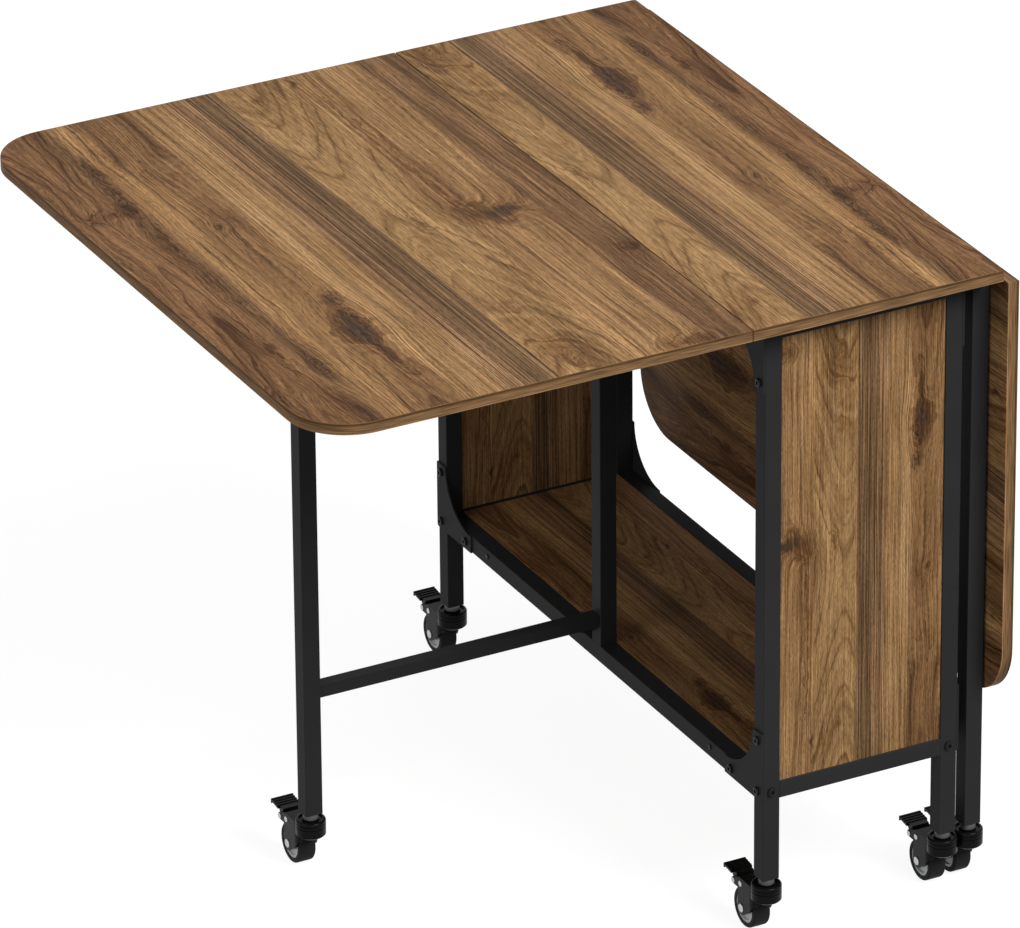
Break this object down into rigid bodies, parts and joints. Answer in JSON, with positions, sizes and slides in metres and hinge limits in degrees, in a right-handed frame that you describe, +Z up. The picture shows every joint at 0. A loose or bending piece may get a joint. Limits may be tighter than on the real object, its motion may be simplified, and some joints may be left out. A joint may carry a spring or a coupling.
{
  "type": "folding dining table",
  "caption": "Drop-leaf gateleg dining table: narrow square-tube frame with shelf and end panels, fixed centre top, hinged wood-look leaves and braked swivel casters.",
  "frame": {"origin": "floor level, at the middle of the table's footprint as it stands with the left leaf raised", "axes": "+Z up, +X along the open table from the raised left leaf to the hanging right leaf, +Y along the leaf hinges from the front end to the back end"},
  "size_m": [0.8178, 0.83, 0.742],
  "materials": {
    "walnut_laminate": "walnut-look melamine foil, satin",
    "frame_powder_coat": "charcoal black powder coat, satin",
    "black_bolts": "black oxide steel",
    "zinc_steel": "zinc-plated steel",
    "caster_stem": "grey zinc-plated steel",
    "cap_plastic": "black moulded plastic",
    "caster_housing": "glossy black moulded nylon",
    "caster_tyre": "black rubber tread",
    "caster_hub": "light grey moulded plastic",
    "caster_rivets": "zinc-plated rivets"
  },
  "bodies": {
    "frame": {"centre_top": "walnut_laminate", "left_posts": "frame_powder_coat", "right_posts": "frame_powder_coat", "middle_uprights": "frame_powder_coat", "long_rails": "frame_powder_coat", "end_rails": "frame_powder_coat", "shelf": "walnut_laminate", "front_end_panel": "walnut_laminate", "back_end_panel": "walnut_laminate", "gusset_plates": "frame_powder_coat", "frame_bolts": "black_bolts", "wood_screws": "black_bolts", "caster_stems": "caster_stem", "leaf_hinge_plates": "zinc_steel", "gate_hinge_brackets": "frame_powder_coat", "hinge_pins": "zinc_steel"},
    "left_leaf": {"left_leaf": "walnut_laminate", "left_leaf_hinge_plates": "zinc_steel"},
    "right_leaf": {"right_leaf": "walnut_laminate", "right_leaf_hinge_plates": "zinc_steel"},
    "left_gate": {"left_gate_leg": "frame_powder_coat", "left_gate_arms": "frame_powder_coat", "left_gate_knuckles": "frame_powder_coat", "left_gate_leg_cap": "cap_plastic", "left_gate_caster_stem": "caster_stem"},
    "right_gate": {"right_gate_leg": "frame_powder_coat", "right_gate_arms": "frame_powder_coat", "right_gate_knuckles": "frame_powder_coat", "right_gate_leg_cap": "cap_plastic", "right_gate_caster_stem": "caster_stem"},
    "front_left_caster": {"front_left_caster_fork": "caster_housing", "front_left_caster_pins": "caster_rivets"},
    "front_left_wheel": {"front_left_caster_tyre": "caster_tyre", "front_left_caster_hub": "caster_hub"},
    "front_left_pedal": {"front_left_caster_pedal": "caster_housing"},
    "front_right_caster": {"front_right_caster_fork": "caster_housing", "front_right_caster_pins": "caster_rivets"},
    "front_right_wheel": {"front_right_caster_tyre": "caster_tyre", "front_right_caster_hub": "caster_hub"},
    "front_right_pedal": {"front_right_caster_pedal": "caster_housing"},
    "back_left_caster": {"back_left_caster_fork": "caster_housing", "back_left_caster_pins": "caster_rivets"},
    "back_left_wheel": {"back_left_caster_tyre": "caster_tyre", "back_left_caster_hub": "caster_hub"},
    "back_left_pedal": {"back_left_caster_pedal": "caster_housing"},
    "back_right_caster": {"back_right_caster_fork": "caster_housing", "back_right_caster_pins": "caster_rivets"},
    "back_right_wheel": {"back_right_caster_tyre": "caster_tyre", "back_right_caster_hub": "caster_hub"},
    "back_right_pedal": {"back_right_caster_pedal": "caster_housing"},
    "left_gate_caster": {"left_gate_caster_fork": "caster_housing", "left_gate_caster_pins": "caster_rivets"},
    "left_gate_wheel": {"left_gate_caster_tyre": "caster_tyre", "left_gate_caster_hub": "caster_hub"},
    "left_gate_pedal": {"left_gate_caster_pedal": "caster_housing"},
    "right_gate_caster": {"right_gate_caster_fork": "caster_housing", "right_gate_caster_pins": "caster_rivets"},
    "right_gate_wheel": {"right_gate_caster_tyre": "caster_tyre", "right_gate_caster_hub": "caster_hub"},
    "right_gate_pedal": {"right_gate_caster_pedal": "caster_housing"}
  },
  "joints": [
    {"name": "left_leaf_lift", "type": "hinge", "parent": "frame", "child": "left_leaf", "pos_m": [0.0903, -0.015, 0.725], "axis": [0, 1, 0], "range_deg": [0, 2]},
    {"name": "right_leaf_lift", "type": "hinge", "parent": "frame", "child": "right_leaf", "pos_m": [0.3919, -0.015, 0.725], "axis": [0, -1, 0], "range_deg": [0, 90]},
    {"name": "left_gate_swing", "type": "hinge", "parent": "frame", "child": "left_gate", "pos_m": [0.1146, 0, 0.2118], "axis": [0, 0, 1], "range_deg": [-90, 0]},
    {"name": "right_gate_swing", "type": "hinge", "parent": "frame", "child": "right_gate", "pos_m": [0.3676, -0.03, 0.2118], "axis": [0, 0, 1], "range_deg": [0, 0.3]},
    {"name": "front_left_swivel", "type": "hinge", "parent": "frame", "child": "front_left_caster", "pos_m": [0.1331, -0.375, 0.0657], "axis": [0, 0, 1], "continuous": true},
    {"name": "front_left_wheel_spin", "type": "hinge", "parent": "front_left_caster", "child": "front_left_wheel", "pos_m": [0.1331, -0.3445, 0.023], "axis": [1, 0, 0], "continuous": true},
    {"name": "front_left_brake_press", "type": "hinge", "parent": "front_left_caster", "child": "front_left_pedal", "pos_m": [0.1331, -0.327, 0.0486], "axis": [1, 0, 0], "range_deg": [-15, 0]},
    {"name": "front_right_swivel", "type": "hinge", "parent": "frame", "child": "front_right_caster", "pos_m": [0.3491, -0.375, 0.0657], "axis": [0, 0, 1], "range_deg": [0, 180]},
    {"name": "front_right_wheel_spin", "type": "hinge", "parent": "front_right_caster", "child": "front_right_wheel", "pos_m": [0.3491, -0.3445, 0.023], "axis": [1, 0, 0], "continuous": true},
    {"name": "front_right_brake_press", "type": "hinge", "parent": "front_right_caster", "child": "front_right_pedal", "pos_m": [0.3491, -0.327, 0.0486], "axis": [1, 0, 0], "range_deg": [-15, 0]},
    {"name": "back_left_swivel", "type": "hinge", "parent": "frame", "child": "back_left_caster", "pos_m": [0.1331, 0.345, 0.0657], "axis": [0, 0, -1], "continuous": true},
    {"name": "back_left_wheel_spin", "type": "hinge", "parent": "back_left_caster", "child": "back_left_wheel", "pos_m": [0.1331, 0.3755, 0.023], "axis": [1, 0, 0], "continuous": true},
    {"name": "back_left_brake_press", "type": "hinge", "parent": "back_left_caster", "child": "back_left_pedal", "pos_m": [0.1331, 0.393, 0.0486], "axis": [1, 0, 0], "range_deg": [-15, 0]},
    {"name": "back_right_swivel", "type": "hinge", "parent": "frame", "child": "back_right_caster", "pos_m": [0.3491, 0.345, 0.0657], "axis": [0, 0, 1], "continuous": true},
    {"name": "back_right_wheel_spin", "type": "hinge", "parent": "back_right_caster", "child": "back_right_wheel", "pos_m": [0.3491, 0.3755, 0.023], "axis": [1, 0, 0], "continuous": true},
    {"name": "back_right_brake_press", "type": "hinge", "parent": "back_right_caster", "child": "back_right_pedal", "pos_m": [0.3491, 0.393, 0.0486], "axis": [1, 0, 0], "range_deg": [-15, 0]},
    {"name": "left_gate_swivel", "type": "hinge", "parent": "left_gate", "child": "left_gate_caster", "pos_m": [-0.2269, -0.015, 0.0657], "axis": [0, 0, 1], "range_deg": [0, 180]},
    {"name": "left_gate_wheel_spin", "type": "hinge", "parent": "left_gate_caster", "child": "left_gate_wheel", "pos_m": [-0.2269, 0.0155, 0.023], "axis": [1, 0, 0], "continuous": true},
    {"name": "left_gate_brake_press", "type": "hinge", "parent": "left_gate_caster", "child": "left_gate_pedal", "pos_m": [-0.2269, 0.033, 0.0486], "axis": [1, 0, 0], "range_deg": [-15, 0]},
    {"name": "right_gate_swivel", "type": "hinge", "parent": "right_gate", "child": "right_gate_caster", "pos_m": [0.3826, -0.3715, 0.0657], "axis": [0, 0, 1], "range_deg": [-180, 0]},
    {"name": "right_gate_wheel_spin", "type": "hinge", "parent": "right_gate_caster", "child": "right_gate_wheel", "pos_m": [0.3826, -0.341, 0.023], "axis": [1, 0, 0], "continuous": true},
    {"name": "right_gate_brake_press", "type": "hinge", "parent": "right_gate_caster", "child": "right_gate_pedal", "pos_m": [0.3826, -0.3235, 0.0486], "axis": [1, 0, 0], "range_deg": [-15, 0]}
  ],
  "couplings": [
    {"joint": "left_gate_swivel", "follows": "left_gate_swing", "ratio": -2}
  ]
}
